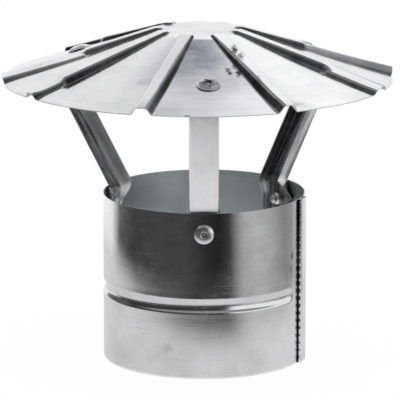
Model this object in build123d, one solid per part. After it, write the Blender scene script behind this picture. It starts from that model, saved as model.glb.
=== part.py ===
from build123d import *
import os
from math import asin, atan2, cos, degrees, hypot, radians, sin, sqrt, tan

# Chimney cap of galvanised sheet: a pleated hat on three channel straps above a lock-seamed collar.
# Millimetres and degrees. +Z is up, the origin is the centre of the collar's lower end, the front is -Y.
# An azimuth is measured from the front towards +X.

# Collar, rolled from one sheet
collar_diameter = 100.0
collar_height = 83.0
collar_sheet = 0.5

# Lock seam of the collar: four layers that stand out on the outside
seam_azimuth = 72.0
seam_width = 8.0
seam_step_run = 2.2
seam_clearance = 0.08

# Bead rolled inwards round the collar, ending short of the seam
bead_level = 36.4
bead_width = 7.0
bead_depth = 1.3
bead_seam_gap = 6.8

# Hat, one pressed disc with a flat crown and conical panels, riveted on a little off centre
hat_rim_radius = 95.6
hat_rim_level = 140.5
crown_radius = 22.0
crown_level = 164.6
hat_sheet = 0.5
hat_shift = -2.6

# Pleats of the hat, pressed one by one: each crest starts a little above the crown
pleat_azimuths = (-178.0, -136.5, -87.5, -57.5, -16.5, 26.5, 67.5, 97.0, 146.0)
pleat_rise = 4.3
pleat_start_rise = 0.7
pleat_start_radius = 21.0
pleat_crest_width = 4.8
pleat_flank_angle = 30.0
pleat_bend = 1.0
pleat_overhang = 1.4

# Straps, folded as channels that open to the inside, with the foot hammered out flat
strap_azimuths = {"strap_front": 0.0, "strap_right": 129.0, "strap_left": 248.5}
strap_sheet = 0.7
strap_web_width = 14.4
strap_flange = 7.0
strap_inset = 12.6
strap_bend_above_rim = 0.6
strap_flange_notch = 5.0
foot_flange = 4.0
foot_flat_length = 14.0
foot_fold_length = 10.0
foot_clearance = 0.15
tab_length = 23.0
tab_corner_radius = 3.0
tab_clearance = 0.25

# Blind rivets, each with its mandrel head left inside
collar_rivet_below_rim = 10.4
hat_rivet_inset = 29.6
hat_rivet_aside = 2.0
rivet_diameter = 4.8
rivet_hole_clearance = 0.1
rivet_head_diameter = 9.6
rivet_head_height = 1.5
rivet_head_edge = 0.5
rivet_crown_diameter = 5.8
rivet_seat = 0.1
rivet_bulb_diameter = 6.6
rivet_bulb_length = 2.6
mandrel_diameter = 2.6
mandrel_clearance = 0.08
mandrel_recess = 0.7
mandrel_head_diameter = 4.4
mandrel_head_length = 1.8

# Derived sizes
collar_radius = collar_diameter / 2
collar_bore_radius = collar_radius - collar_sheet
hat_slope = atan2(crown_level - hat_rim_level, hat_rim_radius - crown_radius)
pleat_drop = crown_level + pleat_start_rise - hat_rim_level - pleat_rise
pleat_slope = atan2(pleat_drop, hat_rim_radius - crown_radius)
strap_reach = hat_rim_radius - strap_inset
hat_rivet_radius = hat_rim_radius - hat_rivet_inset
collar_rivet_level = collar_height - collar_rivet_below_rim
rivet_hole_radius = rivet_diameter / 2 + rivet_hole_clearance
overshoot = 10.0


def polar(radius, azimuth):
    return (radius * sin(radians(azimuth)), -radius * cos(radians(azimuth)))


def around(azimuth):
    return Rot(0, 0, azimuth)


# Lock seam, drawn at the front. Its layers are counted outwards from the bore.
seam_pitch = collar_sheet + seam_clearance
seam_fold_radius = seam_pitch + collar_sheet / 2


def seam_angle(distance):
    return degrees(distance / collar_radius)


def seam_band(layer, start, end):
    inner = collar_bore_radius + layer * seam_pitch
    outer = inner + collar_sheet
    middle = (start + end) / 2
    return make_face(
        [
            ThreePointArc(polar(inner, start), polar(inner, middle), polar(inner, end)),
            Line(polar(inner, end), polar(outer, end)),
            ThreePointArc(polar(outer, end), polar(outer, middle), polar(outer, start)),
            Line(polar(outer, start), polar(inner, start)),
        ]
    )


def seam_fold(layer, azimuth, side):
    centre = polar(collar_bore_radius + layer * seam_pitch + collar_sheet / 2, azimuth)
    ring = Circle(seam_fold_radius) - Circle(seam_fold_radius - collar_sheet)
    half = Pos(side * overshoot / 2, 0) * Rectangle(overshoot, overshoot)
    return Pos(*centre) * around(azimuth) * (ring & half)


def seam_step(start, end):
    low = collar_bore_radius
    high = collar_bore_radius + 3 * seam_pitch
    corners = [
        polar(high, start),
        polar(high + collar_sheet, start),
        polar(low + collar_sheet, end),
        polar(low, end),
    ]
    return make_face(Polyline(*corners, close=True))


def collar_outline():
    edge = seam_angle(seam_width / 2)
    fold = seam_angle(seam_width / 2 - seam_fold_radius)
    step = edge + seam_angle(seam_step_run)
    outline = seam_band(0, step - 360, fold)
    outline += seam_fold(1, fold, 1)
    outline += seam_band(2, -fold, fold)
    outline += seam_fold(2, -fold, -1)
    outline += seam_band(1, -fold, fold)
    outline += seam_band(3, -fold, edge)
    outline += seam_step(edge, step)
    return around(seam_azimuth) * outline


# Collar

def bead_forms(growth):
    arc_radius = (bead_width**2 / 4 + bead_depth**2) / (2 * bead_depth)
    path_radius = collar_radius - bead_depth + arc_radius
    tube = arc_radius + growth
    end_run = bead_seam_gap + bead_width / 2
    start = seam_azimuth + seam_angle(seam_width / 2 + seam_step_run + end_run)
    end = seam_azimuth + 360 - seam_angle(seam_width / 2 + end_run)
    half_turn = (end - start) / 2
    half = revolve(Plane.XZ * Pos(path_radius, bead_level) * Circle(tube), Axis.Z, half_turn)
    ends = [Pos(*polar(path_radius, azimuth), bead_level) * Sphere(tube) for azimuth in (start, end)]
    return [around(start - 90) * half, around(start - 90 + half_turn) * half] + ends


def make_collar():
    collar = extrude(collar_outline(), collar_height)
    core = Pos(0, 0, bead_level) * Cylinder(collar_radius - collar_sheet / 2, 4 * bead_width)
    for form in bead_forms(collar_sheet):
        collar += form & core
    for form in bead_forms(0.0):
        collar -= form
    for azimuth in strap_azimuths.values():
        collar -= around(azimuth) * rivet_drill(collar_rivet_plane())
    return collar


# Hat

def hat_level(radius, depth=0.0):
    return crown_level - (radius - crown_radius) * tan(hat_slope) - depth / cos(hat_slope)


def hat_distance(radius, azimuth):
    x, y = polar(radius, azimuth)
    return hypot(x - hat_shift, y)


def hat_cone(depth):
    far = hat_rim_radius + pleat_overhang + overshoot + depth
    floor = hat_level(far) - overshoot - depth
    corner = crown_radius - depth * tan(hat_slope / 2)
    corners = [
        (0, floor),
        (far, floor),
        (far, hat_level(far, depth)),
        (corner, crown_level - depth),
        (0, crown_level - depth),
    ]
    return revolve(Plane.XZ * make_face(Polyline(*corners, close=True)), Axis.Z)


def pleat_form(depth):
    across = (1, 0, 0)
    outward = (0, -cos(pleat_slope), -sin(pleat_slope))
    start_level = crown_level + pleat_start_rise + (crown_radius - pleat_start_radius) * tan(pleat_slope)
    section_plane = Plane((0, -pleat_start_radius, start_level), across, outward)
    length = (hat_rim_radius + pleat_overhang + overshoot / 2 - pleat_start_radius) / cos(pleat_slope)

    flank = tan(radians(pleat_flank_angle))
    crest_half = pleat_crest_width / 2 - depth * tan(radians(45 - pleat_flank_angle / 2))
    foot_half = crest_half + (2 * pleat_rise - depth) * flank
    corners = [
        (crest_half, -depth),
        (foot_half, -2 * pleat_rise),
        (-foot_half, -2 * pleat_rise),
        (-crest_half, -depth),
    ]
    section = make_face(Polyline(*corners, close=True))
    turn = radians(90 - pleat_flank_angle)
    bend = pleat_bend - depth * tan(turn / 4) / cos(turn / 2)
    section = chamfer(section.vertices().group_by(Axis.Y)[-1], bend)
    half_plane = Pos(foot_half, 0) * Rectangle(2 * foot_half, 6 * pleat_rise)

    form = extrude(section_plane * section, length)
    form += revolve(section_plane * (section & half_plane), Axis(section_plane.origin, section_plane.y_dir))
    return form


def hat_form(depth):
    form = hat_cone(depth)
    pleat = pleat_form(depth)
    for azimuth in pleat_azimuths:
        form += around(azimuth) * pleat
    return form


def rim_trim():
    low = hat_rim_level - overshoot
    high = crown_level + overshoot
    flare = pleat_overhang / pleat_rise
    corners = [
        (0, low),
        (hat_rim_radius + (low - hat_rim_level) * flare, low),
        (hat_rim_radius + (high - hat_rim_level) * flare, high),
        (0, high),
    ]
    return revolve(Plane.XZ * make_face(Polyline(*corners, close=True)), Axis.Z)


def make_hat():
    hat = (hat_form(0.0) - hat_form(hat_sheet)) & rim_trim()
    hat = Pos(hat_shift, 0, 0) * hat
    for azimuth in strap_azimuths.values():
        hat -= around(azimuth) * rivet_drill(hat_rivet_plane(azimuth))
    return hat


# Straps, drawn at the front and turned to their azimuth
foot_seat_radius = collar_bore_radius - foot_clearance
foot_radius = sqrt(foot_seat_radius**2 - (strap_web_width / 2) ** 2)
foot_fold_angle = asin(strap_web_width / 2 / foot_seat_radius) + asin(foot_flange / 2 / foot_seat_radius)
strap_bend_level = collar_height + strap_bend_above_rim


def strap_section(level, fold, flange):
    half = strap_web_width / 2
    inner_half = half - strap_sheet * tan(fold / 2)
    tip_x = half + flange * cos(fold)
    tip_y = flange * sin(fold) - foot_radius
    inner_tip_x = tip_x - strap_sheet * sin(fold)
    inner_tip_y = tip_y + strap_sheet * cos(fold)
    right = [
        (half, -foot_radius),
        (tip_x, tip_y),
        (inner_tip_x, inner_tip_y),
        (inner_half, strap_sheet - foot_radius),
    ]
    left = [(-x, y) for x, y in reversed(right)]
    return Pos(0, 0, level) * make_face(Polyline(*right, *left, close=True))


def tab_plane(azimuth):
    level = hat_level(hat_distance(strap_reach, azimuth), hat_sheet + tab_clearance)
    return Plane((0, -strap_reach, level), (1, 0, 0), (0, -sin(hat_slope), cos(hat_slope)))


def make_strap(azimuth):
    quarter = radians(90)
    fold_level = strap_bend_level - foot_fold_length
    foot_section = strap_section(fold_level, foot_fold_angle, foot_flange)
    leg_section = strap_section(strap_bend_level, quarter, strap_flange)
    web_centre = Pos(0, strap_sheet / 2 - foot_radius, strap_bend_level)
    web_section = web_centre * Rectangle(strap_web_width, strap_sheet)

    tab = tab_plane(azimuth)
    leg = Vector(0, foot_radius - strap_reach, tab.origin.Z - strap_bend_level)

    strap = extrude(foot_section, foot_flat_length, dir=(0, 0, -1))
    strap += loft([foot_section, leg_section], ruled=True)
    strap += extrude(leg_section, leg.length - strap_flange_notch, dir=leg.normalized())
    strap += extrude(web_section, leg.length + overshoot, dir=leg.normalized())
    strap -= tab * extrude(Rectangle(2 * strap_reach, 2 * strap_reach), strap_reach)

    plate = Pos(0, tab_length / 2) * Rectangle(strap_web_width, tab_length)
    plate = fillet(plate.vertices().group_by(Axis.Y)[-1], tab_corner_radius)
    strap += tab * extrude(plate, -strap_sheet)

    strap -= rivet_drill(collar_rivet_plane())
    strap -= rivet_drill(hat_rivet_plane(azimuth))
    return around(azimuth) * strap


# Rivets, drawn with the head's underside at zero and the blind end below
collar_rivet_grip = collar_radius + 2 * rivet_seat - foot_radius + strap_sheet
hat_rivet_grip = hat_sheet + tab_clearance + strap_sheet + 2 * rivet_seat


def collar_rivet_plane():
    return Plane((0, -collar_radius - rivet_seat, collar_rivet_level), (1, 0, 0), (0, -1, 0))


def hat_rivet_plane(azimuth):
    level = hat_level(hat_distance(hat_rivet_radius, azimuth))
    seat = Plane((hat_rivet_aside, -hat_rivet_radius, level), (1, 0, 0), (0, -sin(hat_slope), cos(hat_slope)))
    return seat.offset(rivet_seat)


def rivet_drill(plane):
    return plane * Cylinder(rivet_hole_radius, overshoot)


def make_rivet(grip):
    hole = mandrel_diameter / 2 + mandrel_clearance
    crown = rivet_crown_diameter / 2
    head = rivet_head_diameter / 2
    shank = rivet_diameter / 2
    bulb = rivet_bulb_diameter / 2
    end = -grip - rivet_bulb_length
    corners = [
        (hole, end),
        (hole, rivet_head_height),
        (crown, rivet_head_height),
        (head, rivet_head_edge),
        (head, 0),
        (shank, 0),
        (shank, -grip),
        (bulb, end + rivet_bulb_length / 2),
        (shank, end),
    ]
    return revolve(Plane.XZ * make_face(Polyline(*corners, close=True)), Axis.Z)


def make_mandrel(grip):
    stem = mandrel_diameter / 2
    head = mandrel_head_diameter / 2
    top = rivet_head_height - mandrel_recess
    end = -grip - rivet_bulb_length
    tip = end - mandrel_head_length
    shoulder = (end + tip) / 2
    corners = [(0, tip), (0, top), (stem, top), (stem, end), (head, end), (head, shoulder), (head / 2, tip)]
    return revolve(Plane.XZ * make_face(Polyline(*corners, close=True)), Axis.Z)


def on_collar(fastener):
    return [around(azimuth) * (collar_rivet_plane() * fastener) for azimuth in strap_azimuths.values()]


def on_hat(fastener):
    return [around(azimuth) * (hat_rivet_plane(azimuth) * fastener) for azimuth in strap_azimuths.values()]


nodes = {
    "hat": make_hat(),
    "collar": make_collar(),
    "hat_rivets": Compound(children=on_hat(make_rivet(hat_rivet_grip))),
    "hat_rivet_mandrels": Compound(children=on_hat(make_mandrel(hat_rivet_grip))),
    "collar_rivets": Compound(children=on_collar(make_rivet(collar_rivet_grip))),
    "collar_rivet_mandrels": Compound(children=on_collar(make_mandrel(collar_rivet_grip))),
}
for name, azimuth in strap_azimuths.items():
    nodes[name] = make_strap(azimuth)

os.makedirs("parts", exist_ok=True)
for name, shape in nodes.items():
    shape.label = name
    export_step(shape, f"parts/{name}.step")
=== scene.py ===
from collections import namedtuple
from math import asin, atan2, cos, degrees, hypot, pi, radians, sin, sqrt, tan

import bmesh
import bpy
from mathutils import Matrix, Vector, noise


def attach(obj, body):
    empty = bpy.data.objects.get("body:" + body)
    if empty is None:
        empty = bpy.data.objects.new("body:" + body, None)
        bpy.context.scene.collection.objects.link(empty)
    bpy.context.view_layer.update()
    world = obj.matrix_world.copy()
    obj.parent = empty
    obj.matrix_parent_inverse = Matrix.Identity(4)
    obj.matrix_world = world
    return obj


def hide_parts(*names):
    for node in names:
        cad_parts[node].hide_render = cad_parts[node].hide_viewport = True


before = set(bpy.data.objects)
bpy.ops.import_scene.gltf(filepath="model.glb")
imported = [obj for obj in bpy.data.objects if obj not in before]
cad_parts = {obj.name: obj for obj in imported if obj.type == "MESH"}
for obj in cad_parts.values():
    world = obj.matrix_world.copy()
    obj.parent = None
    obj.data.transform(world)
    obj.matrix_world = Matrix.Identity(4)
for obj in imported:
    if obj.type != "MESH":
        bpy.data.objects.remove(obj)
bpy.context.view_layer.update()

mm = 0.001


# Azimuths are in degrees from the front (-Y) towards +X. The dictionaries of the pieces are in millimetres,
# those of the stage in metres.
def polar(radius, azimuth, level=0.0):
    return Vector((radius * sin(radians(azimuth)), -radius * cos(radians(azimuth)), level))


def between(first, second, share):
    return first + (second - first) * share


def smoothStep(low, high, value):
    share = min(max((value - low) / (high - low), 0.0), 1.0)
    return share * share * (3 - 2 * share)


def softMax(first, second, blend):
    near = max(blend - abs(first - second), 0.0) / blend
    return max(first, second) + near * near * blend / 4


def spread(start, end, count):
    return [start + (end - start) * index / count for index in range(count + 1)]


# Shader nodes

class Graph:
    def __init__(self, tree):
        self.tree = tree

    def add(self, kind, inputs=None, **settings):
        node = self.tree.nodes.new(kind)
        for name, value in settings.items():
            setattr(node, name, value)
        for name, value in (inputs or {}).items():
            self.feed(node.inputs[name], value)
        return node

    def feed(self, socket, value):
        if isinstance(value, bpy.types.NodeSocket):
            self.tree.links.new(value, socket)
        else:
            socket.default_value = value

    def math(self, operation, first, second=0.0, clamp=False):
        node = self.add("ShaderNodeMath", {0: first, 1: second}, operation=operation, use_clamp=clamp)
        return node.outputs[0]

    def azimuth(self, x, y):
        return self.math("MULTIPLY", self.math("ARCTAN2", x, self.math("MULTIPLY", y, -1.0)), 180 / pi)

    def vector(self, operation, first, second=(0, 0, 0)):
        node = self.add("ShaderNodeVectorMath", {0: first, 1: second}, operation=operation)
        return node.outputs["Value" if operation == "LENGTH" else "Vector"]

    def remap(self, value, fromLow, fromHigh, toLow=0.0, toHigh=1.0):
        limits = {"From Min": fromLow, "From Max": fromHigh, "To Min": toLow, "To Max": toHigh}
        node = self.add("ShaderNodeMapRange", {"Value": value, **limits}, interpolation_type="SMOOTHSTEP")
        return node.outputs[0]

    def mix(self, share, first, second):
        node = self.add("ShaderNodeMix", data_type="RGBA")
        self.feed(node.inputs[0], share)
        self.feed(node.inputs[6], first)  # inputs 6 and 7 and output 2 are the colours
        self.feed(node.inputs[7], second)
        return node.outputs[2]

    def level(self, share, first, second):
        node = self.add("ShaderNodeMix", data_type="FLOAT")
        self.feed(node.inputs[0], share)
        self.feed(node.inputs[2], first)
        self.feed(node.inputs[3], second)
        return node.outputs[0]

    def noise(self, vector, scale, detail=2.0, roughness=0.5):
        inputs = {"Vector": vector, "Scale": scale, "Detail": detail, "Roughness": roughness}
        return self.add("ShaderNodeTexNoise", inputs).outputs["Fac"]

    def group(self, tree, inputs):
        node = self.add("ShaderNodeGroup")
        node.node_tree = tree
        for name, value in inputs.items():
            self.feed(node.inputs[name], value)
        return node


def newGroup(name, inputs, outputs):
    tree = bpy.data.node_groups.new(name, "ShaderNodeTree")
    for label, kind, value in inputs:
        socket = tree.interface.new_socket(label, in_out="INPUT", socket_type=kind)
        if value is not None:
            socket.default_value = value
    for label, kind in outputs:
        tree.interface.new_socket(label, in_out="OUTPUT", socket_type=kind)
    graph = Graph(tree)
    return graph, graph.add("NodeGroupInput").outputs, graph.add("NodeGroupOutput").inputs


# Galvanised skin: scale, detail and roughness of each noise, the range of it that is used, how far each
# pattern shifts the tone, and its share in the roughness and in the relief
skin = {
    "tint": (1, 1, 1.015, 1),
    "noiseRange": (0.3, 0.7),
    "spangleScale": 130.0,
    "spangle": (-0.02, 0.02),
    "spangleRelief": 0.4,
    "cloudNoise": (34.0, 6.0, 0.65),
    "cloud": (-0.09, 0.07),
    "cloudRoughness": 0.8,
    "cloudRelief": 0.3,
    "streakNoise": (1.0, 4.0, 0.6),
    "streak": (-0.018, 0.018),
    "streakRoughness": 0.6,
    "patchNoise": (0.6, 5.0, 0.6),
    "patchRange": (0.35, 0.65),
    "mottleRoughness": 0.8,
    "scratchStretch": (1.6, 2.6, 1.0),
    "scratchNoise": (1.0, 4.0, 0.75),
    "scratchRange": (0.5, 0.8),
    "wornNoise": (45.0, 3.0),
    "wornRange": (0.42, 0.62),
    # Colour of the spots: of the marks, and of the painted hat shadow on the front strap
    "spotColour": (0.05, 0.045, 0.04, 1),
    "spotRoughness": 0.3,
    "reliefDepth": 0.4,
}


def makeZincGroup():
    graph, given, result = newGroup(
        "zincSkin",
        [
            ("Vector", "NodeSocketVector", None),
            ("Grain", "NodeSocketVector", None),
            ("Tone", "NodeSocketFloat", 0.72),
            ("Tint", "NodeSocketColor", skin["tint"]),
            ("Roughness", "NodeSocketFloat", 0.25),
            ("Mottle", "NodeSocketFloat", 0.0),
            ("Scratches", "NodeSocketFloat", 0.0),
            ("Spot", "NodeSocketFloat", 0.0),
        ],
        [("Color", "NodeSocketColor"), ("Roughness", "NodeSocketFloat"), ("Height", "NodeSocketFloat")],
    )
    place = given["Vector"]
    grain = given["Grain"]
    crystals = graph.add("ShaderNodeTexVoronoi", {"Vector": place, "Scale": skin["spangleScale"]})
    spangle = graph.remap(crystals.outputs["Color"], 0.0, 1.0, *skin["spangle"])
    cloud = graph.remap(graph.noise(place, *skin["cloudNoise"]), *skin["noiseRange"], *skin["cloud"])
    streak = graph.remap(graph.noise(grain, *skin["streakNoise"]), *skin["noiseRange"], *skin["streak"])
    patch = graph.remap(graph.noise(grain, *skin["patchNoise"]), *skin["patchRange"], -1.0, 1.0)
    mottle = graph.math("MULTIPLY", patch, given["Mottle"])
    shade = graph.math("ADD", graph.math("ADD", spangle, cloud), graph.math("ADD", streak, mottle))
    tone = graph.math("ADD", given["Tone"], shade, True)
    clean = graph.mix(tone, (0, 0, 0, 1), given["Tint"])
    graph.feed(result["Color"], graph.mix(given["Spot"], clean, skin["spotColour"]))

    fine = graph.noise(graph.vector("MULTIPLY", grain, skin["scratchStretch"]), *skin["scratchNoise"])
    worn = graph.remap(graph.noise(place, *skin["wornNoise"]), *skin["wornRange"])
    scratch = graph.math("MULTIPLY", graph.remap(fine, *skin["scratchRange"]), worn)
    rough = graph.math("MULTIPLY", scratch, given["Scratches"])
    for pattern, amount in (
        (streak, skin["streakRoughness"]),
        (cloud, skin["cloudRoughness"]),
        (mottle, skin["mottleRoughness"]),
        (given["Spot"], skin["spotRoughness"]),
    ):
        rough = graph.math("ADD", rough, graph.math("MULTIPLY", pattern, amount))
    graph.feed(result["Roughness"], graph.math("ADD", given["Roughness"], rough, True))
    height = graph.math("MULTIPLY", spangle, skin["spangleRelief"])
    height = graph.math("ADD", height, graph.math("MULTIPLY", cloud, skin["cloudRelief"]))
    graph.feed(result["Height"], graph.math("ADD", height, streak))
    return graph.tree


# Edge of a spot, for the marks and for the painted hat shadow on the front strap: noise of its ragged
# outline, how ragged it is, and where it fades, in reaches
markAndShadowEdge = {"raggedNoise": (500.0, 4.0, 0.7), "ragged": (-0.35, 0.35), "fade": (0.15, 1.1)}


def makeSpotGroup():
    graph, given, result = newGroup(
        "markAndShadowSpot",
        [
            ("Vector", "NodeSocketVector", None),
            ("Centre", "NodeSocketVector", None),
            ("Reach", "NodeSocketVector", None),
            ("Amount", "NodeSocketFloat", 1.0),
        ],
        [("Mask", "NodeSocketFloat")],
    )
    aside = graph.vector("SUBTRACT", given["Vector"], given["Centre"])
    away = graph.vector("LENGTH", graph.vector("DIVIDE", aside, given["Reach"]))
    grit = graph.noise(given["Vector"], *markAndShadowEdge["raggedNoise"])
    ragged = graph.math("ADD", away, graph.remap(grit, *skin["noiseRange"], *markAndShadowEdge["ragged"]))
    mask = graph.remap(ragged, *markAndShadowEdge["fade"], 1.0, 0.0)
    graph.feed(result["Mask"], graph.math("MULTIPLY", mask, given["Amount"]))
    return graph.tree


zincGroup = makeZincGroup()
spotGroup = makeSpotGroup()


# Spots, marks and one painted shadow, are listed as centre, reach along x, y and z, and strength
def markAndShadowMask(graph, place, spots):
    worn = None
    for centre, reach, amount in spots:
        inputs = {"Vector": place, "Amount": amount}
        inputs["Centre"] = [value * mm for value in centre]
        inputs["Reach"] = [value * mm for value in reach]
        mask = graph.group(spotGroup, inputs).outputs[0]
        worn = graph.math("MAXIMUM", worn, mask) if worn else mask
    return worn


# Grain stretches the pattern along the UV map, and the last argument is how far the painted shade on the
# hat's pleat flanks, kept in the hat's mesh, darkens the tone
def makeZinc(
    name, tone, roughness, grain, bump,
    metallic=1.0, mottle=0.0, scratches=0.0, spots=(), tint=skin["tint"], paintedFoldShade=0.0,
):
    material = bpy.data.materials.new(name)
    material.use_nodes = True
    graph = Graph(material.node_tree)
    shader = material.node_tree.nodes["Principled BSDF"]
    place = graph.add("ShaderNodeTexCoord").outputs
    inputs = {"Vector": place["Object"], "Grain": graph.vector("MULTIPLY", place["UV"], grain)}
    inputs.update({"Tone": tone, "Tint": tint, "Roughness": roughness})
    inputs.update({"Mottle": mottle, "Scratches": scratches})
    if spots:
        inputs["Spot"] = markAndShadowMask(graph, place["Object"], spots)
    if paintedFoldShade:
        # Painted shade: the hat's shade attribute darkens the tone on the pleat flanks
        shade = graph.add("ShaderNodeAttribute", attribute_name="shade").outputs["Fac"]
        inputs["Tone"] = graph.math("SUBTRACT", tone, graph.math("MULTIPLY", shade, paintedFoldShade))
    surface = graph.group(zincGroup, inputs).outputs
    depth = skin["reliefDepth"] * mm
    relief = graph.add("ShaderNodeBump", {"Strength": bump, "Distance": depth, "Height": surface["Height"]})
    graph.feed(shader.inputs["Base Color"], surface["Color"])
    graph.feed(shader.inputs["Roughness"], surface["Roughness"])
    graph.feed(shader.inputs["Normal"], relief.outputs[0])
    shader.inputs["Metallic"].default_value = metallic
    return material


# Pieces

def drawLine(work, points):
    row = [work.verts.new(point) for point in points]
    line = [work.edges.new(pair) for pair in zip(row, row[1:])]
    return row, line


def pullLine(work, line):
    grown = bmesh.ops.extrude_edge_only(work, edges=line)["geom"]
    kinds = (bmesh.types.BMVert, bmesh.types.BMEdge, bmesh.types.BMFace)
    return [[item for item in grown if isinstance(item, kind)] for kind in kinds]


def spinLine(work, row, line, steps):
    geom = row + line
    bmesh.ops.spin(work, geom=geom, cent=(0, 0, 0), axis=(0, 0, 1), angle=2 * pi, steps=steps, use_merge=True)


# Points closer than this are merged, in metres, and each cut edge of a sheet is broken a little
finish = {"merge": 1e-6, "edgeBevel": 0.1, "edgeAngle": 60.0}


# Looks are materials in the order of their slots: outside, inside and cut edge of a sheet, then the outside
# and inside of its faces that carry painted shade
def finishPiece(name, work, node, looks, thickness=0.0, offset=-1.0, uvRule=None):
    bmesh.ops.remove_doubles(work, verts=work.verts, dist=finish["merge"])
    bmesh.ops.recalc_face_normals(work, faces=work.faces)
    if uvRule:
        uvLayer = work.loops.layers.uv.new("UVMap")
        for face in work.faces:
            uvRule(face, uvLayer)
    for face in work.faces:
        face.smooth = True
    mesh = bpy.data.meshes.new(name)
    work.to_mesh(mesh)
    work.free()
    for material in looks:
        mesh.materials.append(material)
    piece = bpy.data.objects.new(name, mesh)
    bpy.context.collection.objects.link(piece)
    if thickness:
        wall = piece.modifiers.new("sheet", "SOLIDIFY")
        wall.thickness = thickness * mm
        wall.offset = offset
        wall.use_even_offset = True
        wall.material_offset = 1
        wall.material_offset_rim = 2
        edge = piece.modifiers.new("edge", "BEVEL")
        edge.width = finish["edgeBevel"] * mm
        edge.segments = 1
        edge.limit_method = "ANGLE"
        edge.angle_limit = radians(finish["edgeAngle"])
        edge.harden_normals = True
    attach(piece, "root")
    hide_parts(node)


# Hat: a spun disc whose points are lifted into the crown, the panels and the pleats. A value that ends in
# From or Run is a share of the way from the crown to the rim.
hat = {
    "rimRadius": 95.6,
    "rimLevel": 140.5,
    "crownRadius": 22.0,
    "crownLevel": 164.6,
    "crownBend": 0.8,
    "sheet": 0.5,
    "shift": -2.6,  # along x, from the collar's axis
    "pleatStart": 21.5,
    "startRise": 1.1,
    "startRises": (0.8, 3.4),  # a pleat below the first starts flush, one above the second at startRise
    "startAngle": 34.0,
    "flankAngle": 31.0,
    "startShoulder": 0.4,
    "shoulder": 1.0,
    "shoulderRun": 0.3,
    "foot": 0.08,
    "ridge": 0.5,
    "dentRun": 0.035,
    "dentRecovery": 0.5,  # share of a dent that is gone again at the rim
    "dentRecoveryFrom": 0.9,
    "overhang": 1.4,
    "overhangRise": 4.3,  # rise of a pleat that gives this overhang
    "overhangFrom": 0.7,
    "bulge": 1.2,
    "bulgeAzimuth": -73.0,
    "bulgeHalf": 16.0,
    "bulgeFrom": 0.6,
    "sag": 0.6,
    "waviness": 0.25,
    "waveScale": 0.035,
    "waveSeed": 3.7,
    "waveRun": (0.05, 0.5),
    "shadeShoulder": (-0.5, 0.8),  # where the painted shade of a flank begins, in shoulders from the edge of its crest
    "shadeFoot": 0.15,
    "shadeRises": (0.8, 2.0),
    "rimFade": 0.3,  # how much the painted shade of a pleat without a dent fades at the rim
    "rimFadeFrom": 0.6,
    "columns": 80,  # to each pleat
    "crowded": 0.8,  # share of the columns that lie in the zone about the crest
    "zone": 9.0,
    "zoneShare": 0.62,  # the most that the zone may take of half a panel
    "uvRadius": 60.0,
}
# Rows of points: first and last radius, and steps between them
hatRows = [(0.0, 17.0, 4), (18.0, 27.0, 14), (29.0, 78.0, 26), (80.0, hat["rimRadius"], 10)]
# Azimuth, rise at the rim, half width of the crest before and beyond its dent, place and depth of the dent,
# slope of the crest beyond it, and how fast the crest swells
Pleat = namedtuple("Pleat", "azimuth rise startHalf endHalf dentAt dent tilt speed")
pleats = [
    Pleat(-178.0, 1.0, 2.9, 2.1, 0.8, 0.3, 0.0, 2.4),
    Pleat(-136.5, 2.4, 2.9, 2.1, 0.6, 0.3, 0.0, 2.4),
    Pleat(-87.5, 3.3, 2.9, 7.4, 0.45, 0.3, 0.2, 0.7),
    Pleat(-57.5, 3.4, 2.9, 2.3, 0.76, 1.8, 0.0, 1.2),
    Pleat(-16.5, 3.5, 3.0, 3.0, 0.1, 0.0, 0.0, 1.2),
    Pleat(26.5, 3.7, 3.0, 2.6, 0.9, 0.0, 0.0, 1.6),
    Pleat(67.5, 3.1, 2.9, 6.4, 0.62, 0.4, 0.2, 2.0),
    Pleat(97.0, 3.7, 2.9, 4.6, 0.4, 0.2, 0.5, 1.0),
    Pleat(146.0, 1.0, 2.9, 2.1, 0.7, 0.3, 0.0, 2.4),
]
hatRun = hat["rimRadius"] - hat["crownRadius"]
hatSlope = atan2(hat["crownLevel"] - hat["rimLevel"], hatRun)


def coneLevel(radius, depth=0.0):
    return hat["crownLevel"] - (radius - hat["crownRadius"]) * tan(hatSlope) - depth / cos(hatSlope)


def panelSag(radius):
    run = min(max((radius - hat["crownRadius"]) / hatRun, 0.0), 1.0)
    return hat["sag"] * 4 * run * (1 - run)


# How far round the hat a column lies from the middle of its crest
def columnAside(share, halfArc):
    crowded = hat["crowded"]
    zone = min(hat["zone"], hat["zoneShare"] * halfArc)
    if share <= crowded:
        return share / crowded * zone
    return between(zone, halfArc, (share - crowded) / (1 - crowded))


def crestShape(pleat, along, across, inside):
    outward = min((along - hat["crownRadius"]) / hatRun, 1.0)
    start = hat["startRise"] * smoothStep(*hat["startRises"], pleat.rise)
    swell = 1 - (1 - outward) ** pleat.speed
    beyond = smoothStep(pleat.dentAt, pleat.dentAt + hat["dentRun"], inside)
    recovery = hat["dentRecovery"] * smoothStep(hat["dentRecoveryFrom"], 1.0, inside)
    level = coneLevel(along) + between(start, pleat.rise, swell)
    level -= pleat.dent * beyond * (1 - recovery)
    level -= pleat.tilt * beyond * hypot(across, hat["ridge"])
    return level, between(pleat.startHalf, pleat.endHalf, beyond)


def flankDrop(over, run, bend):
    angle = between(hat["startAngle"], hat["flankAngle"], run)
    if over < bend:
        over = max(over + bend, 0.0) ** 2 / (4 * bend)
    return over / tan(radians(angle))


# Painted shade on the flanks of the pleats: how far the hat's material darkens there
def flankShade(pleat, over, rise, inside, bend):
    low, high = hat["shadeShoulder"]
    shade = smoothStep(low * bend, high * bend, over) * smoothStep(-hat["shadeFoot"], hat["shadeFoot"], rise)
    faded = 0.0 if pleat.dent else hat["rimFade"] * smoothStep(hat["rimFadeFrom"], 1.0, inside)
    return shade * smoothStep(*hat["shadeRises"], pleat.rise) * (1 - faded)


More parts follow.
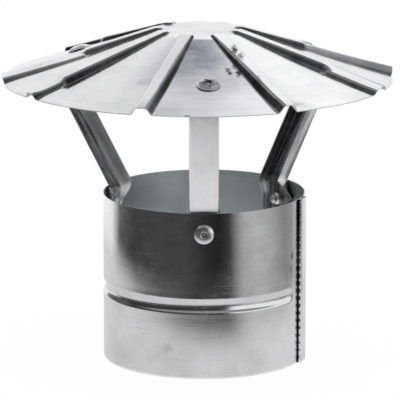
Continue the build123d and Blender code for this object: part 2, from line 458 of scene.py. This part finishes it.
def rimReach(azimuth, rise, run):
    overhang = hat["overhang"] / hat["overhangRise"] * max(rise, 0.0)
    overhang *= smoothStep(hat["overhangFrom"], 1.0, run)
    swing = (azimuth - hat["bulgeAzimuth"]) / hat["bulgeHalf"]
    return overhang + hat["bulge"] * max(1 - swing**2, 0.0) * smoothStep(hat["bulgeFrom"], 1.0, run)


# Place of a point, and how much painted shade darkens the hat's material there
def hatPoint(radius, share, pleat, halfAngle):
    turn = columnAside(abs(share), radius * radians(halfAngle)) / radius if radius else 0.0
    along = max(radius * cos(turn), hat["pleatStart"])
    across = hypot(radius * sin(turn), max(hat["pleatStart"] - radius * cos(turn), 0.0))
    run = (radius - hat["crownRadius"]) / hatRun
    inside = min(max(run, 0.0), 1.0)
    panel = -softMax(-hat["crownLevel"], -coneLevel(radius), hat["crownBend"]) - panelSag(radius)
    crest, crestHalf = crestShape(pleat, along, across, inside)
    bend = between(hat["startShoulder"], hat["shoulder"], smoothStep(0.0, hat["shoulderRun"], inside))
    over = across - crestHalf
    flank = crest - flankDrop(over, inside, bend)
    level = softMax(panel, flank, hat["foot"])
    azimuth = pleat.azimuth + degrees(turn) * (1 if share > 0 else -1)
    point = polar(radius + rimReach(azimuth, level - panel, run), azimuth, level)
    wave = noise.noise(Vector((point.x * hat["waveScale"], point.y * hat["waveScale"], hat["waveSeed"])))
    point.z += hat["waviness"] * wave * smoothStep(*hat["waveRun"], run)
    point.x += hat["shift"]
    return point * mm, flankShade(pleat, over, flank - panel, inside, bend)


def buildHat(looks):
    columns = hat["columns"]
    radii = [radius for rows in hatRows for radius in spread(*rows)]
    work = bmesh.new()
    shadeLayer = work.verts.layers.float.new("shade")
    row, line = drawLine(work, [(radius * mm, 0, 0) for radius in radii])
    spinLine(work, row, line, columns * len(pleats))
    for vert in work.verts:
        radius = hypot(vert.co.x, vert.co.y) / mm
        count = round(degrees(atan2(vert.co.x, -vert.co.y)) % 360 / 360 * columns * len(pleats))
        index = count // columns % len(pleats)
        share = count % columns / (columns / 2) - 1
        pleat = pleats[index]
        if share < 0:
            gap = pleat.azimuth - pleats[index - 1].azimuth
        else:
            gap = pleats[(index + 1) % len(pleats)].azimuth - pleat.azimuth
        vert.co, vert[shadeLayer] = hatPoint(radius, share, pleat, gap % 360 / 2)

    def hatUv(face, layer):
        middle = face.calc_center_median()
        base = atan2(middle.x, -middle.y)
        for loop in face.loops:
            spot = loop.vert.co
            turn = atan2(spot.x, -spot.y)
            if turn - base > pi:
                turn -= 2 * pi
            elif base - turn > pi:
                turn += 2 * pi
            loop[layer].uv = (turn * hat["uvRadius"] * mm, hypot(spot.x, spot.y))

    finishPiece("hatSheet", work, "hat", looks, hat["sheet"], -1.0, hatUv)


# Collar: one open sheet, its plan path folded into the lock seam, pulled up level by level
collar = {
    "radius": 50.0,
    "height": 83.0,
    "sheet": 0.5,
    "edgeInset": 0.06,
    "wallSteps": 232,
    "lowSteps": 40,
    "beadSteps": 36,
    "highSteps": 52,
    "seamAzimuth": 72.0,
    "seamHalf": 4.0,
    "seamStep": 2.2,
    "seamPitch": 0.58,
    "lapShort": 0.4,  # what each lap ends short of the other's fold
    "knurlPitch": 3.77,
    "knurlDepth": 0.3,
    "beadLevel": 36.4,
    "beadWidth": 7.0,
    "beadDepth": 1.3,
    "beadLip": 0.03,
    "beadShoulder": 1.0,
    "beadBlend": 3.0,
    "beadGap": 6.8,
    "paintedShadeLayer": 1.7,  # the fold is painted dark below this layer, as shade in the seam's groove
    "paintedShadeReach": 0.9,  # and the wall this far beside it, as painted shade too
    "paintedShadeSlot": 3,
}
wallRadius = collar["radius"] - collar["sheet"] / 2
wallLength = 2 * pi * collar["radius"]
SeamSpot = namedtuple("SeamSpot", "place layer knurled")


# Place round the wall, layer of the seam counted outwards, and how far the knurling pushes the spot
def seamPath():
    half = collar["seamHalf"]
    step = collar["seamStep"]
    pitch = collar["seamPitch"]
    fold = half - pitch - collar["sheet"] / 2
    lap = fold - collar["lapShort"]
    path = [SeamSpot(place, 1.0, 0.0) for place in spread(lap, -fold, 4)]
    for turn in spread(-pi / 2, pi / 2, 8)[1:-1]:
        path.append(SeamSpot(-fold - pitch * cos(turn), 2 + sin(turn), cos(turn)))
    path += [SeamSpot(place, 3.0, 0.0) for place in spread(-fold, half, 6)]
    for share in spread(0, 1, 4)[1:-1]:
        path.append(SeamSpot(half + step * share, 3 - 3 * smoothStep(0, 1, share), 0.0))
    for place in spread(half + step, wallLength + fold, collar["wallSteps"]):
        path.append(SeamSpot(place, 0.0, 0.0))
    for turn in spread(-pi / 2, pi / 2, 6)[1:-1]:
        path.append(SeamSpot(wallLength + fold + pitch * cos(turn), 1 + sin(turn), 0.0))
    path += [SeamSpot(place, 2.0, 0.0) for place in spread(wallLength + fold, wallLength - lap, 4)]
    return path


def beadRise(place, level):
    half = collar["beadWidth"] / 2
    depth = collar["beadDepth"]
    arc = (half**2 + depth**2) / (2 * depth)
    first = collar["seamHalf"] + collar["seamStep"] + collar["beadGap"] + half
    last = wallLength - collar["seamHalf"] - collar["beadGap"] - half
    beyond = max(first - place, place - last, 0.0)
    away = hypot(beyond, level - collar["beadLevel"])
    lip = collar["beadLip"] * smoothStep(half + collar["beadBlend"], half, away)
    groove = sqrt(arc**2 - min(away, half) ** 2) - (arc - depth)
    return lip * smoothStep(half - collar["beadShoulder"], half, away) - groove


def collarPoint(place, layer, knurled, level):
    notch = collar["knurlDepth"] * knurled * (0.5 + 0.5 * cos(2 * pi * level / collar["knurlPitch"]))
    azimuth = collar["seamAzimuth"] + degrees((place + notch) / collar["radius"])
    radius = wallRadius + layer * collar["seamPitch"]
    if layer == 0.0:
        radius += beadRise(place, level)
    return polar(radius, azimuth, level) * mm


def collarLevels():
    reach = collar["beadWidth"] / 2 + collar["beadBlend"]
    low = collar["beadLevel"] - reach
    high = collar["beadLevel"] + reach
    levels = spread(collar["edgeInset"], low, collar["lowSteps"])
    levels += spread(low, high, collar["beadSteps"])[1:]
    return levels + spread(high, collar["height"] - collar["edgeInset"], collar["highSteps"])[1:]


def buildCollar(looks):
    levels = collarLevels()
    path = seamPath()
    # Painted shade: the lower fold of the seam and the wall beside it get a near-black material
    paintedShadeStart = wallLength - collar["seamHalf"] - collar["paintedShadeReach"]
    work = bmesh.new()
    placeLayer = work.verts.layers.float.new("place")
    paintedShadeMarks = work.verts.layers.float.new("fold")
    row, line = drawLine(work, [collarPoint(*spot, levels[0]) for spot in path])
    for vert, spot in zip(row, path):
        paintedShadeFold = spot.knurled and spot.layer < collar["paintedShadeLayer"]
        vert[placeLayer] = spot.place
        vert[paintedShadeMarks] = 1.0 if paintedShadeFold or spot.place > paintedShadeStart else 0.0
    for level in levels[1:]:
        row, line, _ = pullLine(work, line)
        for vert, spot in zip(row, path):
            vert.co = collarPoint(*spot, level)

    def collarUv(face, layer):
        if min(vert[paintedShadeMarks] for vert in face.verts) > 0:
            face.material_index = collar["paintedShadeSlot"]
        for loop in face.loops:
            loop[layer].uv = (loop.vert[placeLayer] * mm, loop.vert.co.z)

    finishPiece("collarSheet", work, "collar", looks, collar["sheet"], 0.0, collarUv)


# Straps: one folded strip each, flattened inside the collar and bent over under the hat
strap = {
    "azimuths": {"strap_front": 0.0, "strap_right": 129.0, "strap_left": 248.5},
    "sheet": 0.7,
    "web": 14.4,
    "flange": 7.0,
    "flangeAngle": 90.0,
    "bend": 1.1,
    "bendMargin": 1.2,
    "flangeMark": 0.8,  # one more row of points, as a share of the strip's half width
    "reach": 83.0,
    "notch": 5.0,
    "footFlange": 4.0,
    "footFlat": 14.0,
    "footFold": 10.0,
    "footClearance": 0.15,
    "bendAboveRim": 0.6,
    "tabLength": 23.0,
    "tabMargin": 0.22,
    "tabClearance": 0.25,
}
webHalf = strap["web"] / 2
stripHalf = webHalf + strap["flange"]
footSeat = collar["radius"] - collar["sheet"] - strap["footClearance"]
footRadius = sqrt(footSeat**2 - webHalf**2)
footAngle = degrees(asin(webHalf / footSeat) + asin(strap["footFlange"] / 2 / footSeat))
Station = namedtuple("Station", "radius level angle flange channel")


# Rows of points along the strip, as shares of its half width on either side
def strapMarks():
    bend = strap["bend"]
    marks = spread(0, webHalf - bend, 6) + spread(webHalf - bend, webHalf + bend, 6)[1:]
    marks.append(webHalf + bend + strap["bendMargin"])
    marks = [mark / stripHalf for mark in marks] + [strap["flangeMark"], 1.0]
    return sorted({-mark for mark in marks} | set(marks))


def sectionPoint(share, angle, flange):
    bend = strap["bend"]
    spot = abs(share) * (webHalf + flange)
    if spot <= webHalf - bend:
        x = spot
        y = 0.0
    elif spot >= webHalf + bend:
        x = webHalf + (spot - webHalf) * cos(radians(angle))
        y = (spot - webHalf) * sin(radians(angle))
    else:
        part = (spot - webHalf + bend) / (2 * bend)
        x = webHalf - bend * (1 - part) ** 2 + bend * part**2 * cos(radians(angle))
        y = bend * part**2 * sin(radians(angle))
    return (x if share > 0 else -x, y)


# Foot, fold, leaning length and tab, from the bottom up. Only the tab and the notch below it have no flanges.
def strapStations(azimuth):
    square = strap["flangeAngle"]
    bendLevel = collar["height"] + strap["bendAboveRim"]
    foldLevel = bendLevel - strap["footFold"]
    spot = polar(strap["reach"], azimuth)
    tabLevel = coneLevel(hypot(spot.x - hat["shift"], spot.y), hat["sheet"] + strap["tabClearance"])
    lean = Vector((strap["reach"] - footRadius, tabLevel - panelSag(strap["reach"]) - bendLevel))
    stations = []
    for level in spread(foldLevel - strap["footFlat"], foldLevel, 6):
        stations.append(Station(footRadius, level, footAngle, strap["footFlange"], True))
    for share in spread(0, 1, 10)[1:]:
        level = between(foldLevel, bendLevel, share)
        angle = between(footAngle, square, share)
        flange = between(strap["footFlange"], strap["flange"], share)
        stations.append(Station(footRadius, level, angle, flange, True))
    end = 1 - strap["notch"] / lean.length
    for share in spread(0, end, 16)[1:] + spread(end, 1, 4)[1:]:
        radius = footRadius + lean.x * share
        level = bendLevel + lean.y * share
        stations.append(Station(radius, level, square, strap["flange"], share <= end))
    for run in spread(0, strap["tabLength"], 12)[1:]:
        radius = strap["reach"] - run * cos(hatSlope)
        level = tabLevel + run * sin(hatSlope) - panelSag(radius)
        stations.append(Station(radius, level, square, strap["flange"], False))
    return stations


def buildStrap(node, azimuth, looks):
    stations = strapStations(azimuth)
    marks = strapMarks()
    turn = Matrix.Rotation(radians(azimuth), 3, "Z")
    work = bmesh.new()
    alongLayer = work.verts.layers.float.new("along")
    acrossLayer = work.verts.layers.float.new("across")

    def place(row, station, along):
        for vert, mark in zip(row, marks):
            x, y = sectionPoint(mark, station.angle, station.flange)
            vert.co = turn @ Vector((x, y - station.radius, station.level)) * mm
            vert[alongLayer] = along
            vert[acrossLayer] = mark * stripHalf * mm

    row, line = drawLine(work, [(mark, 0, 0) for mark in marks])
    place(row, stations[0], 0.0)
    along = 0.0
    extra = []
    limit = (webHalf + strap["tabMargin"]) * mm
    for before, station in zip(stations, stations[1:]):
        along += hypot(station.radius - before.radius, station.level - before.level) * mm
        row, line, faces = pullLine(work, line)
        place(row, station, along)
        if not station.channel:
            extra += [face for face in faces if max(abs(vert[acrossLayer]) for vert in face.verts) > limit]
    bmesh.ops.delete(work, geom=extra, context="FACES")

    def strapUv(face, layer):
        for loop in face.loops:
            loop[layer].uv = (loop.vert[acrossLayer], loop.vert[alongLayer])

    finishPiece(node + "Sheet", work, node, looks, strap["sheet"], -1.0, strapUv)


# Blind rivets with the mandrel's head left inside
rivet = {
    "steps": 40,
    "diameter": 4.8,
    "headRadius": 4.8,
    "domeRadius": 4.5,
    "hatHeadRadius": 5.8,
    "hatDomeRadius": 4.6,
    "headHeight": 1.9,
    "headEdge": 0.55,
    "headRound": [(0.15, 0.05), (0.05, 0.12), (0.0, 0.25)],  # inset and drop from the edge of the head
    "headUndercut": 0.12,
    "domeTurns": (24, 84, 9),
    "pit": 2.6,
    "pitDepth": 0.75,
    "pitLip": (0.1, 0.45),  # how far the pit widens, and how deep
    "seat": 0.1,
    "bulbDiameter": 6.6,
    "bulbLength": 2.6,
    "mandrelRecess": 0.6,
    "mandrelClearance": 0.04,
    "mandrelBreak": [(0.0, 0.0), (0.35, 0.06), (0.55, 0.25), (0.6, 0.9), (1.0, 1.0)],  # share of stem, drop
    "mandrelHead": 4.4,
    "mandrelHeadLength": 1.8,
    "mandrelHeadRound": 0.2,
    "mandrelHeadSide": 0.9,
    "mandrelTip": [(0.85, 0.35), (0.5, 0.0), (0.0, 0.0)],  # share of the head, height over its end
    "collarDrop": 10.4,
    "hatRadius": 66.0,
    "hatAside": 2.0,
}
collarGrip = collar["radius"] + 2 * rivet["seat"] - footRadius + strap["sheet"]
hatGrip = hat["sheet"] + strap["tabClearance"] + strap["sheet"] + 2 * rivet["seat"]


def rivetSeats():
    collarSeats = []
    hatSeats = []
    for azimuth in strap["azimuths"].values():
        turn = Matrix.Rotation(radians(azimuth), 4, "Z")
        level = collar["height"] - rivet["collarDrop"]
        place = Vector((0, -collar["radius"] - rivet["seat"], level)) * mm
        collarSeats.append(turn @ Matrix.Translation(place) @ Matrix.Rotation(pi / 2, 4, "X"))
        spot = polar(rivet["hatRadius"], azimuth)
        level = coneLevel(hypot(spot.x - hat["shift"], spot.y)) - panelSag(rivet["hatRadius"])
        place = Vector((rivet["hatAside"], -rivet["hatRadius"], level + rivet["seat"])) * mm
        hatSeats.append(turn @ Matrix.Translation(place) @ Matrix.Rotation(hatSlope, 4, "X"))
    return collarSeats, hatSeats


def rivetProfile(grip, head, dome):
    pit = rivet["pit"] / 2
    lip, lipDepth = rivet["pitLip"]
    edge = rivet["headEdge"]
    top = rivet["headHeight"]
    shank = rivet["diameter"] / 2
    end = -grip - rivet["bulbLength"]
    points = [(pit, end), (pit, 0.0), (pit, top - rivet["pitDepth"]), (pit + lip, top - lipDepth)]
    for turn in spread(*rivet["domeTurns"]):
        points.append((dome * sin(radians(turn)), edge + (top - edge) * cos(radians(turn))))
    points += [(head - inset, edge - drop) for inset, drop in rivet["headRound"]]
    points += [(head - rivet["headUndercut"], 0.0), (shank, 0.0), (shank, -grip)]
    for turn in spread(-90, 90, 8)[1:]:
        bulge = (rivet["bulbDiameter"] / 2 - shank) * cos(radians(turn))
        points.append((shank + bulge, -grip - rivet["bulbLength"] * (turn + 90) / 180))
    points.append((pit, end))
    return points


def mandrelProfile(grip):
    stem = rivet["pit"] / 2 - rivet["mandrelClearance"]
    head = rivet["mandrelHead"] / 2
    edge = rivet["mandrelHeadRound"]
    top = rivet["headHeight"] - rivet["mandrelRecess"]
    end = -grip - rivet["bulbLength"]
    tip = end - rivet["mandrelHeadLength"]
    points = [(stem * share, top - drop) for share, drop in rivet["mandrelBreak"]]
    points += [(stem, end), (head - edge, end), (head, end - edge), (head, end - rivet["mandrelHeadSide"])]
    return points + [(head * share, tip + height) for share, height in rivet["mandrelTip"]]


def buildFasteners(name, node, points, seats, material):
    work = bmesh.new()
    for seat in seats:
        known = set(work.verts)
        row, line = drawLine(work, [(x * mm, 0, z * mm) for x, z in points])
        spinLine(work, row, line, rivet["steps"])
        bmesh.ops.transform(work, matrix=seat, verts=[vert for vert in work.verts if vert not in known])
    finishPiece(name, work, node, [material])


# Stage: camera, floor, tent and lamp
view = {
    "distance": 2.0,
    "level": 0.5351,
    "pitch": 0.2245,
    "lens": 372.05,
    "sensor": 36.0,
    "shift": -0.0099,
    "clipEnd": 50.0,
}


def buildCamera():
    data = bpy.data.cameras.new("camera")
    data.sensor_width = view["sensor"]
    data.lens = view["lens"]
    data.shift_x = view["shift"]
    data.clip_end = view["clipEnd"]
    camera = bpy.data.objects.new("camera", data)
    camera.location = (0, -view["distance"], view["level"])
    camera.rotation_euler = (pi / 2 - view["pitch"], 0, 0)
    bpy.context.collection.objects.link(camera)
    bpy.context.scene.camera = camera


# A flat disc and the empty shader graph of its material
def layDisc(name, materialName, radius, lift):
    work = bmesh.new()
    bmesh.ops.create_circle(work, cap_ends=True, segments=64, radius=radius)
    bmesh.ops.translate(work, verts=work.verts, vec=(0, 0, lift))
    mesh = bpy.data.meshes.new(name)
    work.to_mesh(mesh)
    work.free()
    disc = bpy.data.objects.new(name, mesh)
    bpy.context.collection.objects.link(disc)
    material = bpy.data.materials.new(materialName)
    material.use_nodes = True
    material.node_tree.nodes.clear()
    mesh.materials.append(material)
    return disc, Graph(material.node_tree)


# White paper that keeps the object's shadow; glow is the share of plain white in it for camera and metal
floorPaper = {"radius": 9.0, "colour": (0.9, 0.9, 0.9, 1), "glow": 0.97}


def buildFloor():
    floor, graph = layDisc("floor", "floorPaper", floorPaper["radius"], 0.0)
    path = graph.add("ShaderNodeLightPath").outputs
    seen = graph.math("MAXIMUM", path["Is Camera Ray"], path["Is Glossy Ray"])
    seen = graph.math("MAXIMUM", seen, path["Is Transmission Ray"])
    share = graph.math("MULTIPLY", seen, floorPaper["glow"])
    paper = graph.add("ShaderNodeBsdfDiffuse", {"Color": floorPaper["colour"]})
    white = graph.add("ShaderNodeEmission", {"Color": (1, 1, 1, 1), "Strength": 1.0})
    blend = graph.add("ShaderNodeMixShader", {0: share, 1: paper.outputs[0], 2: white.outputs[0]})
    graph.add("ShaderNodeOutputMaterial", {"Surface": blend.outputs[0]})


# A cloth lying on the floor, seen only in reflections: tones by azimuth, and the tone of its pale middle,
# which is the object's shadow on the floor, painted in
floorCloth = {
    "radius": 2.5,
    "lift": 0.0008,
    "centre": (-0.035, 0.07, 0.0),
    "inner": 0.16,
    "edge": 0.1,
    "near": 0.75,
    "tones": [
        (-180, 1.0), (-122, 1.0), (-106, 0.12), (-80, 0.055), (-50, 0.07), (-20, 0.065), (2, 0.03),
        (17, 0.02), (27, 0.05), (42, 0.48), (58, 0.56), (75, 0.45), (98, 0.3), (112, 0.35), (126, 0.7),
        (145, 0.9),
    ],
}


def buildFloorCloth():
    cloth, graph = layDisc("floorCloth", "floorCloth", floorCloth["radius"], floorCloth["lift"])
    cloth.visible_camera = False
    cloth.visible_shadow = False
    cloth.visible_diffuse = False
    cloth.visible_transmission = False
    place = graph.add("ShaderNodeTexCoord").outputs["Object"]
    split = graph.add("ShaderNodeSeparateXYZ", {0: place}).outputs
    around = graph.math("ADD", graph.math("DIVIDE", graph.azimuth(split["X"], split["Y"]), 360.0), 0.5)
    ramp = graph.add("ShaderNodeValToRGB", {"Fac": around})
    stops = ramp.color_ramp.elements
    stops[1].position = 1.0
    for azimuth, tone in floorCloth["tones"]:
        stop = stops[0] if azimuth == -180 else stops.new(azimuth / 360 + 0.5)
        stop.color = (tone, tone, tone, 1)
    away = graph.vector("LENGTH", graph.vector("SUBTRACT", place, floorCloth["centre"]))
    beyond = graph.remap(away, floorCloth["inner"], floorCloth["inner"] + floorCloth["edge"])
    # The middle is a painted shadow of the object on the floor
    near = (floorCloth["near"],) * 3 + (1,)
    colour = graph.mix(beyond, near, ramp.outputs["Color"])
    glow = graph.add("ShaderNodeEmission", {"Color": colour, "Strength": 1.0})
    graph.add("ShaderNodeOutputMaterial", {"Surface": glow.outputs[0]})


# Soft white tent round the object, dimmer at the top and cooler there behind it, with flags: middle azimuth,
# half width, lowest and highest elevation, shade
tent = {
    "low": 1.0,
    "high": 0.25,
    "fade": (41.9, 50.1),
    "highTint": (0.88, 0.95, 1.06, 1),
    "tintBehind": (0.2, 0.45),
    "flagSideBlur": 4.0,
    "flagEndBlur": 3.0,
    "flags": [
        (160.0, 22.0, 10.0, 46.0, 1.2),
        (180.0, 12.0, 0.0, 26.0, 0.98),
        (72.0, 42.0, 33.0, 95.0, 0.3),
        (-126.0, 19.0, -4.0, 31.0, 0.2),
        (140.0, 22.0, -12.0, 24.0, 0.2),
        (138.0, 15.0, 22.0, 47.0, 0.35),
        (-98.0, 22.0, 20.0, 95.0, 0.32),
        (-42.0, 73.0, 34.0, 95.0, 0.3),
        (-42.0, 73.0, -5.0, 38.0, 0.045),
        (-118.0, 18.0, 8.0, 30.0, 0.12),
    ],
}


def makeFlagGroup():
    graph, given, result = newGroup(
        "tentFlag",
        [
            ("Azimuth", "NodeSocketFloat", None),
            ("Elevation", "NodeSocketFloat", None),
            ("Middle", "NodeSocketFloat", 0.0),
            ("Half", "NodeSocketFloat", 10.0),
            ("Low", "NodeSocketFloat", 0.0),
            ("High", "NodeSocketFloat", 30.0),
        ],
        [("Mask", "NodeSocketFloat")],
    )
    side = tent["flagSideBlur"]
    end = tent["flagEndBlur"]
    away = graph.math("SUBTRACT", given["Azimuth"], given["Middle"])
    wrapped = graph.add("ShaderNodeMath", {0: away, 1: 180.0, 2: -180.0}, operation="WRAP").outputs[0]
    away = graph.math("ABSOLUTE", wrapped)
    sideways = graph.remap(graph.math("SUBTRACT", away, given["Half"]), -side, side, 1.0, 0.0)
    above = graph.remap(graph.math("SUBTRACT", given["Elevation"], given["Low"]), -end, end)
    below = graph.remap(graph.math("SUBTRACT", given["High"], given["Elevation"]), -end, end)
    graph.feed(result["Mask"], graph.math("MULTIPLY", graph.math("MULTIPLY", sideways, above), below))
    return graph.tree


def buildWorld():
    world = bpy.data.worlds.new("studio")
    bpy.context.scene.world = world
    world.use_nodes = True
    world.node_tree.nodes.clear()
    graph = Graph(world.node_tree)
    direction = graph.add("ShaderNodeTexCoord").outputs["Generated"]
    split = graph.add("ShaderNodeSeparateXYZ", {0: direction}).outputs
    azimuth = graph.azimuth(split["X"], split["Y"])
    elevation = graph.math("MULTIPLY", graph.math("ARCSINE", split["Z"]), 180 / pi)
    light = graph.remap(elevation, *tent["fade"], tent["low"], tent["high"])
    group = makeFlagGroup()
    for middle, half, low, high, shade in tent["flags"]:
        inputs = {"Azimuth": azimuth, "Elevation": elevation}
        inputs.update({"Middle": middle, "Half": half, "Low": low, "High": high})
        mask = graph.group(group, inputs).outputs[0]
        light = graph.level(mask, light, shade)
    path = graph.add("ShaderNodeLightPath").outputs
    strength = graph.math("MAXIMUM", light, path["Is Camera Ray"])
    behind = graph.remap(split["Y"], *tent["tintBehind"])
    cool = graph.math("MULTIPLY", graph.remap(elevation, *tent["fade"]), behind)
    cool = graph.math("SUBTRACT", cool, path["Is Camera Ray"], True)
    tint = graph.mix(cool, (1, 1, 1, 1), tent["highTint"])
    background = graph.add("ShaderNodeBackground", {"Color": tint, "Strength": strength})
    graph.add("ShaderNodeOutputWorld", {"Surface": background.outputs[0]})


lamp = {"level": 1.6, "size": 2.4, "power": 36.0}


def buildLamp():
    data = bpy.data.lights.new("lamp", "AREA")
    data.size = lamp["size"]
    data.energy = lamp["power"]
    light = bpy.data.objects.new("lamp", data)
    light.location = (0, 0, lamp["level"])
    light.visible_glossy = False
    bpy.context.collection.objects.link(light)


print("stage: camera, floor, tent and lamp")
bpy.context.scene.view_settings.view_transform = "Standard"
buildCamera()
buildFloor()
buildFloorCloth()
buildWorld()
buildLamp()

print("stage: materials")
hatSpots = [
    ((11.4, -51.2, 154.3), (1.7, 2.6, 2.6), 1.0),
    ((12.6, -53.2, 153.6), (1.7, 2.6, 2.6), 1.0),
    ((16.6, -53.4, 154.0), (3.0, 5.0, 4.0), 0.9),
    ((15.2, -47.0, 156.0), (2.4, 5.0, 4.0), 0.6),
    ((14.6, -36.0, 162.0), (2.4, 7.0, 5.0), 0.95),
    ((17.8, -41.5, 161.0), (2.2, 6.0, 5.0), 0.7),
    ((26.0, -66.0, 150.5), (2.0, 8.0, 5.0), 0.5),
    ((44.0, -76.5, 143.5), (9.0, 4.0, 4.0), 0.3),
    ((-8.0, -95.3, 140.0), (2.2, 1.4, 1.4), 0.9),
    ((-26.0, -60.0, 150.0), (8.0, 5.0, 4.0), 0.15),
    ((4.0, -8.0, 164.6), (16.0, 7.0, 2.0), 0.1),
    ((-9.0, 6.0, 164.6), (9.0, 12.0, 2.0), 0.08),
]
collarSpots = [
    ((43.3, -25.0, 56.0), (1.6, 1.6, 2.8), 0.9),
    ((42.6, -26.0, 49.5), (1.4, 1.8, 2.4), 0.6),
    ((-17.5, -46.8, 14.6), (4.5, 3.0, 2.6), 0.22),
]
# Painted shadow of the hat, darkening the top of the front strap
strapHatShadow = [((0.0, -83.0, 140.0), (16.0, 10.0, 9.0), 0.2)]
rivetSpots = [((2.0, -65.4, 150.6), (5.0, 5.0, 3.2), 1.0)]
hatGrain = (40.0, 260.0, 1.0)
wallGrain = (30.0, 900.0, 1.0)
stripGrain = (500.0, 40.0, 1.0)
innerGrain = (400.0, 40.0, 1.0)
evenGrain = (300.0, 300.0, 1.0)
finishes = {
    # The hat's zinc is darkened by painted shade on its pleat flanks
    "hatZinc": dict(tone=0.76, roughness=0.18, grain=hatGrain, bump=0.5, spots=hatSpots, paintedFoldShade=0.63),
    "collarZinc": dict(
        tone=0.76, roughness=0.14, grain=wallGrain, bump=0.2, scratches=0.3, spots=collarSpots
    ),
    "strapZinc": dict(tone=0.9, roughness=0.24, grain=stripGrain, bump=0.25, mottle=0.03, spots=strapHatShadow),
    "backZinc": dict(tone=0.68, roughness=0.34, grain=stripGrain, bump=0.6, mottle=0.22),
    "innerZinc": dict(tone=0.78, roughness=0.45, grain=innerGrain, bump=0.4, mottle=0.16),
    "underZinc": dict(tone=0.72, roughness=0.45, grain=hatGrain, bump=0.3),
    "darkZinc": dict(tone=0.34, roughness=0.34, grain=stripGrain, bump=0.6, mottle=0.2),
    "boreZinc": dict(tone=0.73, roughness=0.4, grain=wallGrain, bump=0.2, tint=(0.955, 1, 1.01, 1)),
    # Painted shade in the groove of the collar's lock seam
    "seamPaintedShade": dict(tone=0.06, roughness=0.6, grain=evenGrain, bump=0.1),
    "cutEdge": dict(tone=0.6, roughness=0.5, grain=evenGrain, bump=0.1, metallic=0.2),
    "rivetMetal": dict(tone=0.9, roughness=0.36, grain=evenGrain, bump=0.1, spots=rivetSpots),
    "mandrelMetal": dict(tone=0.8, roughness=0.3, grain=evenGrain, bump=0.2),
}
metals = {name: makeZinc(name, **values) for name, values in finishes.items()}


def pick(*names):
    return [metals[name] for name in names]


print("stage: hat")
buildHat(pick("hatZinc", "underZinc", "cutEdge"))
print("stage: collar")
buildCollar(pick("collarZinc", "boreZinc", "cutEdge", "seamPaintedShade", "boreZinc"))
print("stage: straps")
strapLooks = {
    "strap_front": ("strapZinc", "innerZinc"),
    "strap_right": ("backZinc", "darkZinc"),
    "strap_left": ("backZinc", "innerZinc"),
}
for strapName, strapAzimuth in strap["azimuths"].items():
    buildStrap(strapName, strapAzimuth, pick(*strapLooks[strapName], "cutEdge"))
print("stage: rivets")
rivetMetal = metals["rivetMetal"]
mandrelMetal = metals["mandrelMetal"]
collarSeats, hatSeats = rivetSeats()
body = rivetProfile(hatGrip, rivet["hatHeadRadius"], rivet["hatDomeRadius"])
buildFasteners("hatRivets", "hat_rivets", body, hatSeats, rivetMetal)
body = rivetProfile(collarGrip, rivet["headRadius"], rivet["domeRadius"])
buildFasteners("collarRivets", "collar_rivets", body, collarSeats, rivetMetal)
stem = mandrelProfile(hatGrip)
buildFasteners("hatMandrels", "hat_rivet_mandrels", stem, hatSeats, mandrelMetal)
stem = mandrelProfile(collarGrip)
buildFasteners("collarMandrels", "collar_rivet_mandrels", stem, collarSeats, mandrelMetal)
